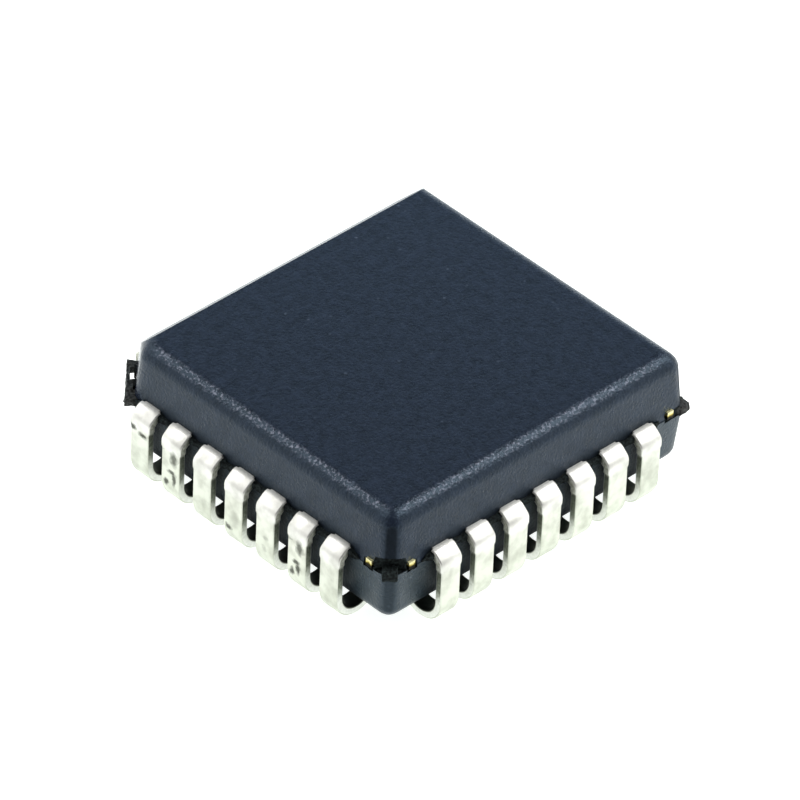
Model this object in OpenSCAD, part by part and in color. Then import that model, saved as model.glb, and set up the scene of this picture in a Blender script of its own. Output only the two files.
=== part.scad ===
// Plastic leaded chip carrier: a square moulded epoxy package with J-bent leads on all four sides.
// Origin at the centre of the seating plane under the lead feet, +Z up, millimetres.
// Lead 1 is in the middle of the +Y side, and the numbers run anticlockwise seen from above.

/* [Package] */
// Leads on each side
leads_per_side = 7; // [5:2:11]
// Spacing of the leads along a side
pitch = 1.27; // [1.1:0.01:1.5]
// From the last lead's centre to the unchamfered corner of the body
end_margin = 1.905; // [1.7:0.005:2.4]
// Overall height above the seating plane
height = 4.2; // [4:0.05:4.7]
// Clear height under the body
standoff = 0.58; // [0.51:0.01:0.7]
// Height of the leads' upper face where they leave the body
lead_top = 2.6; // [2.4:0.05:2.9]

/* [Moulded body] */
// Draft of the upper walls in degrees
draft_top = 5.5; // [3:0.5:9]
// Draft of the lower walls in degrees
draft_bottom = 6; // [3:0.5:9]
// Radius of the rounded top edges
top_round = 0.52; // [0.2:0.02:0.6]
// Radius of the rounded bottom edges
bottom_round = 0.46; // [0.2:0.02:0.5]
// Width of the 45 degree bevel along the top edge on the side of lead 1
pin1_bevel = 0.95; // [0.6:0.05:1.1]
// Leg of the index corner's chamfer
index_cut = 1.15; // [1.07:0.01:1.22]
// Leg of the other corners' chamfers above the parting plane
corner_cut_top = 0.34; // [0.25:0.01:0.5]
// Leg of the corner chamfers below the parting plane
corner_cut_bottom = 0.32; // [0.25:0.01:0.5]
// Clearance around each lead tip in its pocket
pocket_clear = 0.08; // [0.03:0.01:0.12]
// Diameter of the ejector mark under the body
mark_d = 2.6; // [1.5:0.1:4]
// Depth of the ejector mark
mark_depth = 0.08; // [0.03:0.01:0.2]

/* [Moulding remnants] */
// Height of the broken gate and flash
remnant_h = 0.26; // [0.15:0.01:0.35]
// Width of the gate stub
gate_w = 0.42; // [0.3:0.02:0.6]
// How far the gate stub stands out
gate_proud = 0.14; // [0.05:0.01:0.2]
// Width of the flash nub on the next corner
nub_w = 0.5; // [0.3:0.02:0.6]
// How far the flash nub stands out
nub_proud = 0.22; // [0.1:0.01:0.35]
// How far the flash bar stands out from the index chamfer
bar_proud = 0.24; // [0.15:0.01:0.3]
// Width of the slit between the flash bar and the chamfer
bar_slit = 0.14; // [0.05:0.01:0.14]
// Length of that slit
bar_slit_len = 0.5; // [0.2:0.02:0.6]
// From the flash bar's far end to the slit
bar_slit_from = 0.3; // [0.2:0.02:0.5]
// Height of the break left by the gate above the parting plane
scar_h = 0.46; // [0.2:0.02:0.6]
// Depth of that break at the corner
scar_depth = 0.26; // [0.1:0.02:0.3]

/* [Leads] */
// From the body wall to the outer face of the leads
lead_reach = 0.455; // [0.42:0.005:0.55]
// Thickness of the lead strip
lead_t = 0.25; // [0.2:0.01:0.3]
// Width where a lead leaves the body
exit_w = 0.62; // [0.45:0.01:0.66]
// Width across the shoulder
shoulder_w = 0.78; // [0.66:0.01:0.81]
// Width of the leg and foot
foot_w = 0.7; // [0.33:0.01:0.72]
// From the lead's upper face down to the end of the shoulder
shoulder_drop = 0.54; // [0.4:0.02:0.8]
// Length over which the shoulder narrows to the leg
shoulder_taper = 0.08; // [0.04:0.02:0.3]
// Level length of a lead outside the wall, before its shoulder bends down to the leg
neck_len = 0.025; // [0.015:0.005:0.06]
// Outer radius of the J-shaped foot
foot_r = 0.88; // [0.7:0.02:1]
// Angle that the foot turns through
foot_sweep = 165; // [150:1:172]

/* [Lead frame inside] */
// Side of the square die pad
pad_side = 4.7; // [4:0.1:5.2]
// Gap from the die pad to the inner lead tips
pad_gap = 0.4; // [0.25:0.05:0.6]
// How far the die pad lies below the leads
pad_downset = 0.2; // [0.1:0.05:0.3]
// Gap between neighbouring inner lead tips
finger_gap = 0.28; // [0.15:0.01:0.4]
// Straight length of each lead inside the wall
grip_len = 0.8; // [0.5:0.05:1.1]
// Clear corner kept for the tie bars between the outermost lead tips
tie_room = 1; // [0.9:0.05:1.4]
// Width of the corner tie bars
tie_w = 0.3; // [0.2:0.02:0.36]
// Width of the cut tie-bar ends in the walls
stub_w = 0.22; // [0.15:0.01:0.3]
// From the unchamfered corner to the middle of each cut end
stub_offset = 0.8; // [0.7:0.02:0.95]
// How far the cut ends stand out of the walls
stub_proud = 0.03; // [0.01:0.01:0.06]

/* [Die and wires] */
// Side of the square silicon die
die_side = 3; // [2.2:0.1:3.6]
// Thickness of the die
die_t = 0.38; // [0.2:0.02:0.5]
// Thickness of the die-attach layer
attach_t = 0.03; // [0.02:0.01:0.06]
// How far the die-attach fillet spreads past the die
attach_spread = 0.1; // [0.05:0.05:0.2]
// Thickness of the bond wires
wire_t = 0.03; // [0.02:0.005:0.05]
// Height of the wire loops above the die
wire_loop = 0.2; // [0.12:0.02:0.35]
// From the die's edge to the bonds on it
bond_inset = 0.12; // [0.08:0.02:0.2]
// From the die's corner to the first bond along an edge
bond_margin = 0.3; // [0.2:0.05:0.5]
// From a lead's inner tip to the end of the wire on it
stitch_inset = 0.25; // [0.15:0.05:0.4]
// Length of wire pressed flat on the lead
stitch_len = 0.1; // [0.05:0.01:0.15]

/* [Hidden] */
$fn = 96;
eps = 0.01;
sides = 4;
lead_count = sides * leads_per_side;
body_side = (leads_per_side - 1) * pitch + 2 * end_margin;
wall = body_side / 2;
lead_face = wall + lead_reach;
parting = lead_top - lead_t;
bend_u = wall + neck_len;
shoulder_r = lead_face - bend_u;
foot_u = lead_face - foot_r;
foot_inner_r = foot_r - lead_t;
tip_z = foot_r - foot_inner_r * sin(foot_sweep);
front_z = parting - eps;
plan_z = front_z - eps;
pocket_top = tip_z + pocket_clear;
pocket_in = foot_u - foot_r - pocket_clear;
pocket_out = foot_u - sqrt(foot_inner_r ^ 2 - (foot_r - standoff) ^ 2) + pocket_clear;
pad_half = pad_side / 2;
tip_u = pad_half + pad_gap;
tip_pitch = (2 * tip_u - tie_room) / leads_per_side;
tip_w = tip_pitch - finger_gap;
pad_top = lead_top - pad_downset;
die_bottom = pad_top + attach_t;
die_top = die_bottom + die_t;
bond_pitch = (die_side - 2 * bond_margin) / (leads_per_side - 1);
fork = wall - stub_offset;
corner_diag = wall * sqrt(2);
long = 2 * body_side;
remnant_z = parting - remnant_h / 2;

function two_digits(n) = n < 10 ? str("0", n) : str(n);
function lead_name(n) = str("lead_", two_digits(n));

// The slot of lead n, counted anticlockwise from the +X end of the +Y side.
function slot(n) = (n - 1 + floor(leads_per_side / 2)) % lead_count;
function side_of(n) = floor(slot(n) / leads_per_side);
function place_of(n) = slot(n) % leads_per_side - (leads_per_side - 1) / 2;

// The chamfer leg of each corner: far right, far left, near left and near right.
function cuts(plain) = [plain, index_cut, plain, plain];
function cut_depth(leg) = leg / sqrt(2);

LEADS = [for (n = [1:lead_count]) lead_name(n)];

// Puts a child drawn with X outwards and Y along the side onto side s.
module on_side(s) {
    rotate([0, 0, 90 * (s + 1)]) children();
}

// Puts a child drawn on the +X side, about a lead's centre line, where lead n is.
module at_lead(n) {
    on_side(side_of(n)) translate([0, place_of(n) * pitch, 0]) children();
}

// Stands a profile drawn in X and Z upright and runs it along Y.
module upright(run) {
    rotate([90, 0, 0]) linear_extrude(run, center = true) children();
}

// One half of a moulding's section: a drafted wall from the parting plane, with a rounded far edge.
module half_section(half_w, rise, draft, round_r) {
    centre_x = half_w - (rise - round_r) * tan(draft) - round_r / cos(draft);
    centre_z = rise - round_r;
    wall_x = centre_x + round_r * cos(draft);
    wall_z = centre_z + round_r * sin(draft);
    polygon([[0, 0], [half_w, 0], [wall_x, wall_z], [centre_x, rise], [0, rise]]);
    translate([centre_x, centre_z]) circle(round_r);
}

module section(left_w, right_w, rise, draft, round_r) {
    half_section(right_w, rise, draft, round_r);
    mirror([1, 0]) half_section(left_w, rise, draft, round_r);
}

// A mould half standing on the parting plane, square in plan, with a chamfer on each corner.
module mould_half(rise, draft, round_r, legs) {
    depths = [for (leg = legs) corner_diag - cut_depth(leg)];
    intersection() {
        upright(long) section(wall, wall, rise, draft, round_r);
        rotate([0, 0, 90]) upright(long) section(wall, wall, rise, draft, round_r);
        rotate([0, 0, 45]) upright(long) section(depths[2], depths[0], rise, draft, round_r);
        rotate([0, 0, 135]) upright(long) section(depths[3], depths[1], rise, draft, round_r);
    }
}

module upper_half() {
    rise = height - parting;
    bevel_y = wall - rise * tan(draft_top) - pin1_bevel;
    difference() {
        translate([0, 0, parting]) mould_half(rise, draft_top, top_round, cuts(corner_cut_top));
        translate([-wall, bevel_y, height]) rotate([-45, 0, 0]) translate([0, -eps, 0])
            cube([body_side, wall, wall]);
        gate_scar();
    }
}

module lower_half() {
    rise = parting - standoff;
    translate([0, 0, parting]) mirror([0, 0, 1])
        mould_half(rise, draft_bottom, bottom_round, cuts(corner_cut_bottom));
}

// A stub of broken moulding on a corner, drawn with X outwards along the corner's diagonal.
module remnant(leg, wide, proud) {
    face = corner_diag - cut_depth(leg);
    translate([face - leg, -wide / 2, remnant_z]) cube([leg + proud, wide, remnant_h]);
}

// Flash along the index chamfer, with a slit between it and the wall.
module flash_bar() {
    face = corner_diag - cut_depth(index_cut);
    long_side = index_cut * sqrt(2);
    difference() {
        remnant(index_cut, long_side, bar_proud);
        translate([face, bar_slit_from - long_side / 2, remnant_z - eps])
            cube([bar_slit, bar_slit_len, remnant_h + 2 * eps]);
    }
}

module remnants() {
    rotate([0, 0, 225]) remnant(corner_cut_top, gate_w, gate_proud);
    rotate([0, 0, 45]) remnant(corner_cut_top, gate_w, gate_proud);
    rotate([0, 0, -45]) remnant(corner_cut_top, nub_w, nub_proud);
    rotate([0, 0, 135]) flash_bar();
}

// The break that the gate left in the near corner, just above the parting plane.
module gate_scar() {
    face = corner_diag - cut_depth(corner_cut_top);
    rotate([0, 0, 225]) translate([face - scar_depth, -wall, parting - eps])
        cube([wall, body_side, scar_h + eps]);
}

// The pockets under the body that take the tips of the J feet.
module tip_pockets() {
    width = foot_w + 2 * pocket_clear;
    for (n = [1:lead_count])
        at_lead(n) translate([pocket_in, -width / 2, 0]) cube([pocket_out - pocket_in, width, pocket_top]);
}

module body() color([0.17, 0.2, 0.26]) difference() {
    union() {
        upper_half();
        lower_half();
        remnants();
    }
    for (n = [1:lead_count])
        at_lead(n) translate([0, 0, parting]) linear_extrude(lead_t) lead_plan(n);
    die_pad();
    die_attach();
    die();
    bond_wires();
    tip_pockets();
    translate([0, 0, standoff - eps]) cylinder(d = mark_d, h = mark_depth + eps);
}

// A lead seen from above: the finger inside the body, the flared neck outside its wall and the shoulder.
module lead_plan(n) {
    fan = place_of(n) * (tip_pitch - pitch);
    polygon([
        [lead_face + eps, shoulder_w / 2], [bend_u, shoulder_w / 2], [wall, exit_w / 2],
        [wall - grip_len, exit_w / 2], [tip_u, fan + tip_w / 2],
        [tip_u, fan - tip_w / 2], [wall - grip_len, -exit_w / 2],
        [wall, -exit_w / 2], [bend_u, -shoulder_w / 2], [lead_face + eps, -shoulder_w / 2]
    ]);
}

// A lead seen from the front, below its flat part: the shoulder, the taper and the foot.
module lead_front() {
    step = lead_top - shoulder_drop;
    leg = step - shoulder_taper;
    polygon([
        [shoulder_w / 2, front_z], [shoulder_w / 2, step], [foot_w / 2, leg], [foot_w / 2, -eps],
        [-foot_w / 2, -eps], [-foot_w / 2, leg], [-shoulder_w / 2, step], [-shoulder_w / 2, front_z]
    ]);
}

// A bend of the strip in the side view, centred on the origin, from angle a to angle b.
module strip_bend(outer_r, a, b) {
    reach = 2 * outer_r;
    middle = (a + b) / 2;
    intersection() {
        difference() {
            circle(outer_r);
            circle(outer_r - lead_t);
        }
        polygon(concat([[0, 0]], [for (turn = [a, middle, b]) reach * [cos(turn), sin(turn)]]));
    }
}

// A lead seen from the side: the flat strip, the shoulder bend, the leg and the curled foot.
module lead_side() {
    bend_z = lead_top - shoulder_r;
    translate([tip_u, parting]) square([bend_u - tip_u, lead_t]);
    translate([bend_u, bend_z]) strip_bend(shoulder_r, 0, 90);
    translate([lead_face - lead_t, foot_r]) square([lead_t, bend_z - foot_r]);
    translate([foot_u, foot_r]) strip_bend(foot_r, -foot_sweep, 0);
}

// A lead: its side view, cut to its width in the plan and, below the flat strip, in the front view.
module lead(n) color([0.86, 0.87, 0.85]) at_lead(n) intersection() {
    upright(long) lead_side();
    union() {
        translate([0, 0, plan_z]) linear_extrude(height) lead_plan(n);
        rotate([90, 0, 90]) linear_extrude(long) lead_front();
    }
}

// The outline of the walls in plan at the parting plane, grown by the given amount.
module wall_outline(grow) {
    side = 2 * (wall + grow);
    intersection() {
        square(side, center = true);
        rotate([0, 0, 135]) translate([-long, -long / 2])
            square([long + corner_diag - cut_depth(index_cut) + grow, long]);
    }
}

// A tie bar from the pad's corner up to the lead plane, ending in two prongs cut off at the walls.
module tie_bar() {
    start = pad_half * sqrt(2) - tie_w;
    foot = pad_half * sqrt(2) + tie_w / 2;
    top = foot + 2 * pad_downset;
    end = fork * sqrt(2);
    level = pad_top - lead_t;
    rotate([0, 0, 45]) upright(tie_w) polygon([
        [start, level], [foot, level], [top, parting], [end, parting],
        [end, lead_top], [top, lead_top], [foot, pad_top], [start, pad_top]
    ]);
    for (flip = [0, 1])
        mirror([flip, -flip, 0]) translate([fork - stub_w / 2, fork - stub_w / 2, parting])
            cube([stub_offset + stub_w, stub_w, lead_t]);
}

module die_pad() color([0.85, 0.62, 0.3]) intersection() {
    union() {
        translate([-pad_half, -pad_half, pad_top - lead_t]) cube([pad_side, pad_side, lead_t]);
        for (s = [0:sides - 1]) rotate([0, 0, 90 * s]) tie_bar();
    }
    translate([0, 0, pad_top - 2 * lead_t]) linear_extrude(height) wall_outline(stub_proud);
}

module die_attach() color([0.75, 0.76, 0.78]) {
    side = die_side + 2 * attach_spread;
    translate([-side / 2, -side / 2, pad_top]) cube([side, side, attach_t]);
}

module die() color([0.35, 0.36, 0.42])
    translate([-die_side / 2, -die_side / 2, die_bottom]) cube([die_side, die_side, die_t]);

// One wire: up from the die, level over its edge, and down to a flat stitch on the lead.
module bond_wire(n) {
    place = place_of(n);
    start = [die_side / 2 - bond_inset, place * bond_pitch];
    stop = [tip_u + stitch_inset, place * tip_pitch];
    run = norm(stop - start);
    turn = atan2(stop[1] - start[1], stop[0] - start[0]);
    crest = die_top + wire_loop;
    level_to = bond_inset + 2 * wire_loop;
    half = wire_t / 2;
    on_side(side_of(n)) translate([start[0], start[1], 0]) rotate([0, 0, turn]) upright(wire_t) polygon([
        [-half, die_top], [half, die_top], [half, crest - wire_t], [level_to, crest - wire_t],
        [run - stitch_len, lead_top], [run, lead_top], [run, lead_top + wire_t],
        [run - stitch_len, lead_top + wire_t], [level_to, crest], [-half, crest]
    ]);
}

module bond_wires() color([0.9, 0.72, 0.3])
    for (n = [1:lead_count]) bond_wire(n);

body();
die_pad();
die_attach();
die();
bond_wires();
for (n = [1:lead_count])
    lead(n);
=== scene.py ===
import math

import bmesh
import bpy
from mathutils import Matrix, Vector, noise


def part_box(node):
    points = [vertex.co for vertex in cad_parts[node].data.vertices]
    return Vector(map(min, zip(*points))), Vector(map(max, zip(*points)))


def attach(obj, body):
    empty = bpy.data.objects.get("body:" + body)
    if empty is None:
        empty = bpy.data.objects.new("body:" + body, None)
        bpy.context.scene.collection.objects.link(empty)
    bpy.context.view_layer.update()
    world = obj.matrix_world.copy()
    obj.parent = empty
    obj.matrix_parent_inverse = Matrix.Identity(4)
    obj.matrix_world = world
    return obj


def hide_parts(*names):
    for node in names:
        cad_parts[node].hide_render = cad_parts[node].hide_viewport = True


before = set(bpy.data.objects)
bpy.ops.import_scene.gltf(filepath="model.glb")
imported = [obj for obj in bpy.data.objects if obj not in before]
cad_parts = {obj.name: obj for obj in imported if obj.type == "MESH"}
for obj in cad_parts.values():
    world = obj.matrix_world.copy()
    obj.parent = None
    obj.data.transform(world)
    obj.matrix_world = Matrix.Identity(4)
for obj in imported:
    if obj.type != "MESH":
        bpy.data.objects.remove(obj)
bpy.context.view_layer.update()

# Leads: copper alloy strip, stamped flat, plated with matte tin and bent into a J once the body is moulded.
# The finger inside the body takes a bond wire, and the leg and foot outside are soldered to a board.
# Sizes are in millimetres, here and in the sections that follow.
MM = 0.001
LEAD_COUNT = 28
LEADS_PER_SIDE = 7
PITCH = 1.27
HALF_ROW = (LEADS_PER_SIDE - 1) / 2
WALL = 5.715
LEAD_T = 0.25
TIP_PITCH = 0.643
TIP_W = 0.363
EXIT_W = 0.62
FOOT_W = 0.7
FOOT_TIP_W = 0.5
GRIP_LEN = 0.8
SHOULDER_FROM = 5.74
SHOULDER_SLOPE = math.radians(40)
SHOULDER_R = 0.28
UPPER_BEND_STEPS = 4
LOWER_BEND_STEPS = 5
SHOULDER_DROP = 0.54
SHOULDER_TAPER = 0.08
FOOT_R = 0.88
FOOT_SWEEP = math.radians(165)
FOOT_STEPS = 28
STAMPED_EDGE_R = 0.045
EDGE_POINTS = 4
FLANKS = (2 * EDGE_POINTS - 1, 4 * EDGE_POINTS - 1)
END_CHAMFER = 0.035
LEAD_SHARP = math.radians(35)

first_low, first_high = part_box("lead_01")
LEAD_FACE = first_high.y / MM
LEAD_TOP = first_high.z / MM
TIP_U = first_low.y / MM
SHOULDER_W = (first_high.x - first_low.x) / MM
MID_Z = LEAD_TOP - LEAD_T / 2


def bend(centre_u, centre_z, outer_r, start, stop, steps, width, end_width):
    """Stations round a bend of the strip: out, up, heading, width and place to the side."""
    stations = []
    for i in range(steps + 1):
        a = start + (stop - start) * i / steps
        r = outer_r - LEAD_T / 2
        w = width + (end_width - width) * i / steps
        stations.append((centre_u + r * math.cos(a), centre_z + r * math.sin(a), a - math.pi / 2, w, 0))
    return stations


def lead_stations(fan):
    """The strip's middle line from the inner tip, fanned out to the side, to the end of the foot."""
    flat = [
        (TIP_U, MID_Z, 0, TIP_W, fan),
        (WALL - GRIP_LEN, MID_Z, 0, EXIT_W, 0),
        (WALL, MID_Z, 0, EXIT_W, 0),
    ]
    slope_end = math.pi / 2 - SHOULDER_SLOPE
    across = LEAD_FACE - SHOULDER_FROM - SHOULDER_R
    low_z = LEAD_TOP - SHOULDER_R - across * math.tan(SHOULDER_SLOPE)
    upper_bend = bend(SHOULDER_FROM, LEAD_TOP - SHOULDER_R, SHOULDER_R, math.pi / 2, slope_end, UPPER_BEND_STEPS,
                      SHOULDER_W, SHOULDER_W)
    lower_bend = bend(LEAD_FACE - SHOULDER_R, low_z, SHOULDER_R, slope_end, 0, LOWER_BEND_STEPS,
                      SHOULDER_W, SHOULDER_W)
    leg_u = LEAD_FACE - LEAD_T / 2
    step_z = LEAD_TOP - SHOULDER_DROP
    straight_down = -math.pi / 2
    leg = [
        (leg_u, step_z, straight_down, SHOULDER_W, 0),
        (leg_u, step_z - SHOULDER_TAPER, straight_down, FOOT_W, 0),
    ]
    foot = bend(LEAD_FACE - FOOT_R, FOOT_R, FOOT_R, 0, -FOOT_SWEEP, FOOT_STEPS, FOOT_W, FOOT_TIP_W)
    return flat + upper_bend + lower_bend + leg + foot


def strip_ring(station, inset=0):
    """The strip's rounded section at a station, as points in millimetres."""
    u, z, heading, width, aside = station
    off_strip = Vector((-math.sin(heading), 0, math.cos(heading)))
    r = STAMPED_EDGE_R
    points = []
    for corner in range(4):
        side_y = 1 if corner in (0, 3) else -1
        side_n = 1 if corner in (0, 1) else -1
        for step in range(EDGE_POINTS):
            a = math.radians(90 * corner + 90 / (EDGE_POINTS - 1) * step)
            y = side_y * (width / 2 - r - inset) + r * math.cos(a)
            n = side_n * (LEAD_T / 2 - r - inset) + r * math.sin(a)
            points.append(Vector((u, aside + y, z)) + off_strip * n)
    return points


def skin(rings):
    """A bmesh skin over a row of rings of equal length, closed at both ends."""
    bm = bmesh.new()
    made = [[bm.verts.new(p * MM) for p in ring] for ring in rings]
    count = len(rings[0])
    for a, b in zip(made, made[1:]):
        for i in range(count):
            j = (i + 1) % count
            bm.faces.new((a[i], a[j], b[j], b[i]))
    bm.faces.new(list(reversed(made[0])))
    bm.faces.new(made[-1])
    bmesh.ops.recalc_face_normals(bm, faces=bm.faces)
    return bm


def add_piece(name, bm, materials, sharp_angle):
    """Turn a bmesh into a piece that rides with the chip; the bmesh is used up."""
    mesh = bpy.data.meshes.new(name)
    bm.to_mesh(mesh)
    bm.free()
    mesh.shade_smooth()
    mesh.set_sharp_from_angle(angle=sharp_angle)
    for material in materials:
        mesh.materials.append(material)
    piece = bpy.data.objects.new(name, mesh)
    bpy.context.scene.collection.objects.link(piece)
    even = piece.modifiers.new("flat faces stay flat", "WEIGHTED_NORMAL")
    even.keep_sharp = True
    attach(piece, "root")
    return piece


def mm(*sizes):
    """Sizes in millimetres as metres."""
    return [size * MM for size in sizes]


def srgb(code):
    """A hex colour as linear RGBA."""
    parts = [int(code[i:i + 2], 16) / 255 for i in (1, 3, 5)]
    return [c / 12.92 if c <= 0.04045 else ((c + 0.055) / 1.055) ** 2.4 for c in parts] + [1]


def plug(tree, node, sockets):
    """Give each socket a value, or a link from a node or one of its outputs; From and To take a pair of ends."""
    for name, value in sockets.items():
        if name in ("From", "To"):
            plug(tree, node, {f"{name} Min": value[0], f"{name} Max": value[1]})
            continue
        if isinstance(value, bpy.types.Node):
            value = next(output for output in value.outputs if output.enabled)
        if isinstance(value, bpy.types.NodeSocket):
            tree.links.new(value, node.inputs[name])
        else:
            node.inputs[name].default_value = value


def add_node(tree, kind, sockets=None, stops=(), **settings):
    """Add a node with its settings, what its sockets take and, on a ramp, its colour stops from low to high."""
    node = tree.nodes.new(kind)
    for name, value in settings.items():
        setattr(node, name, value)
    plug(tree, node, sockets or {})
    if stops:
        elements = node.color_ramp.elements
        elements[0].position, elements[1].position = stops[0][0], stops[-1][0]
        for position, code in stops[1:-1]:
            elements.new(position)
        for element, (position, code) in zip(elements, stops):
            element.color = srgb(code)
    return node


def start_material(name, sockets=None):
    """A material with its shader's plain values set, and its node tree, shader and place in the part."""
    material = bpy.data.materials.new(name)
    material.use_nodes = True
    tree = material.node_tree
    shader = tree.nodes["Principled BSDF"]
    plug(tree, shader, sockets or {})
    place = add_node(tree, "ShaderNodeTexCoord").outputs["Object"]
    return material, tree, shader, place


# Matte tin plate: a soft white metal of fine crystals, so it shines broadly, a little warmer on the shoulders than
# on the legs, and goes milky at the top of the bend, where it was stretched. The crystals are drawn coarser than
# life, so that they show. Levels are shares of the leads' height.
TIN_GRAIN = 0.05
TIN_GRAIN_DEPTH = 0.005
TIN_CLOUD = 0.4
TIN_CLOUD_RANGE = (0.3, 0.7)
TIN_ROUGHNESS = (0.52, 0.38)
MILKY_LEVEL = (0.955, 0.985)
MILKY_METALLIC = 0.5
tin, tree, shader, place = start_material("matte_tin_plate")
tin_height = add_node(tree, "ShaderNodeSeparateXYZ", {"Vector": place}).outputs["Z"]
tin_level = add_node(tree, "ShaderNodeMapRange", {"Value": tin_height, "From": mm(0, LEAD_TOP)})
tin_tint = add_node(tree, "ShaderNodeValToRGB", {"Fac": tin_level}, stops=(
    (0, "#d8ddcf"), (0.35, "#dee2d5"), (0.74, "#e2e4da"), (0.8, "#ebebe6"), (1, "#ecebe7")))
cloud = add_node(tree, "ShaderNodeTexNoise", {"Vector": place, "Scale": 1 / (TIN_CLOUD * MM), "Detail": 4.0})
cloud_tint = add_node(tree, "ShaderNodeValToRGB", {"Fac": cloud}, stops=((0.3, "#e4e4e2"), (0.6, "#ffffff")))
plate = add_node(tree, "ShaderNodeMixRGB", {"Fac": 1.0, "Color1": tin_tint, "Color2": cloud_tint},
                 blend_type="MULTIPLY")

# Handling left olive scuffs on the leads of the near left side. Each has its place along the side, height,
# half-length, half-height and depth of stain.
SCUFF_RAG = 0.15
SCUFF_RAGGED = 0.2
SCUFF_SPREAD = 1.35
SCUFF_HALF_THICK = 0.3
SCUFF_FADE = (0.5, 1.3)
SCUFFS = (
    (4.12, 2.0, 0.14, 0.07, 0.9), (3.67, 1.89, 0.13, 0.07, 0.9), (2.90, 1.98, 0.10, 0.03, 0.35),
    (2.40, 1.80, 0.11, 0.18, 0.8), (2.46, 1.30, 0.12, 0.06, 0.85), (2.38, 1.1, 0.06, 0.18, 0.85),
    (2.67, 0.89, 0.07, 0.08, 0.9), (1.17, 1.05, 0.10, 0.12, 0.12), (0.14, 0.86, 0.09, 0.07, 0.85),
    (-0.09, 1.20, 0.14, 0.22, 0.14), (-1.34, 1.33, 0.08, 0.06, 0.3), (-1.28, 0.96, 0.07, 0.07, 0.25),
    (-2.24, 1.97, 0.11, 0.03, 0.4), (-2.66, 1.79, 0.11, 0.17, 0.8), (-2.56, 1.25, 0.11, 0.06, 0.85),
    (-2.40, 0.88, 0.06, 0.11, 0.85), (-2.64, 1.06, 0.06, 0.15, 0.85),
)
rag = add_node(tree, "ShaderNodeTexNoise", {"Vector": place, "Scale": 1 / (SCUFF_RAG * MM), "Detail": 3.0})
shift = SCUFF_RAGGED * MM
ragged_place = add_node(tree, "ShaderNodeVectorMath", {0: rag.outputs["Color"], 1: (shift,) * 3, 2: place},
                        operation="MULTIPLY_ADD")
stain = None
for y, z, half_y, half_z, depth in SCUFFS:
    scale = [1 / (SCUFF_SPREAD * half * MM) for half in (SCUFF_HALF_THICK, half_y, half_z)]
    centre = [c * MM + shift / 2 for c in (-LEAD_FACE, y, z)]
    near = add_node(tree, "ShaderNodeVectorMath",
                    {0: ragged_place, 1: scale, 2: [-c * k for c, k in zip(centre, scale)]}, operation="MULTIPLY_ADD")
    reach = add_node(tree, "ShaderNodeVectorMath", {0: near}, operation="LENGTH")
    scuff = add_node(tree, "ShaderNodeMapRange", {"Value": reach, "From": SCUFF_FADE, "To": (depth, 0)})
    stain = scuff if stain is None else add_node(tree, "ShaderNodeMath", {0: stain, 1: scuff}, operation="MAXIMUM")
stained = add_node(tree, "ShaderNodeMixRGB", {"Fac": stain, "Color1": plate, "Color2": srgb("#2f3328")})

# The inside of the curl, which looks up at the body, is painted dark as a painted reflection of the body's dark
# underside.
CURL_FACES_UP = (0.1, 0.4)
CURL_LEVEL = (0.35, 0.5)
CURL_SHADE_SHARE = 0.85
strip_normal = add_node(tree, "ShaderNodeNewGeometry").outputs["Normal"]
upward = add_node(tree, "ShaderNodeSeparateXYZ", {"Vector": strip_normal}).outputs["Z"]
inside = add_node(tree, "ShaderNodeMapRange", {"Value": upward, "From": CURL_FACES_UP, "To": (0, CURL_SHADE_SHARE)})
low_down = add_node(tree, "ShaderNodeMapRange", {"Value": tin_level, "From": CURL_LEVEL, "To": (1, 0)})
curl_shade = add_node(tree, "ShaderNodeMath", {0: inside, 1: low_down}, operation="MULTIPLY")
# Painted reflection: the upward-facing inside of the curl is mixed towards a dark olive.
curl_shaded = add_node(tree, "ShaderNodeMixRGB", {"Fac": curl_shade, "Color1": stained, "Color2": srgb("#20251a")})

crystals = add_node(tree, "ShaderNodeTexNoise", {"Vector": place, "Scale": 1 / (TIN_GRAIN * MM), "Detail": 3.0})
plug(tree, shader, {
    "Base Color": curl_shaded,
    "Metallic": add_node(tree, "ShaderNodeMapRange", {
        "Value": tin_level, "From": MILKY_LEVEL, "To": (1, MILKY_METALLIC)}),
    "Roughness": add_node(tree, "ShaderNodeMapRange", {
        "Value": cloud, "From": TIN_CLOUD_RANGE, "To": TIN_ROUGHNESS}),
    "Normal": add_node(tree, "ShaderNodeBump", {
        "Height": crystals, "Strength": 0.3, "Distance": TIN_GRAIN_DEPTH * MM}),
})

# Sheared flank of the strip: torn by the stamping die, so it is rough and dull. Its colour is painted light from
# the floor: near white at the foot, darkest up the middle and paler at the shoulder, with the tearing faded out near
# the foot. Next to the wall, high up, the flank is painted near black as painted shade.
TEAR = 0.09
TEAR_DEPTH = 0.02
TEAR_FADE_LEVEL = (0.3, 0.5)
TEAR_SHARE = (0.2, 0.8)
WALL_SHADE_OUT = (5.82, 5.96)
WALL_SHADE_LEVEL = (0.66, 0.76)
FLANK_LEVEL = (0.4, 0.75)
FLANK_METALLIC = (1.0, 0.25)
flank, tree, shader, place = start_material("tinned_sheared_flank", {"Roughness": 0.5})
flank_height = add_node(tree, "ShaderNodeSeparateXYZ", {"Vector": place}).outputs["Z"]
flank_level = add_node(tree, "ShaderNodeMapRange", {"Value": flank_height, "From": mm(0, LEAD_TOP)})
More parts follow.
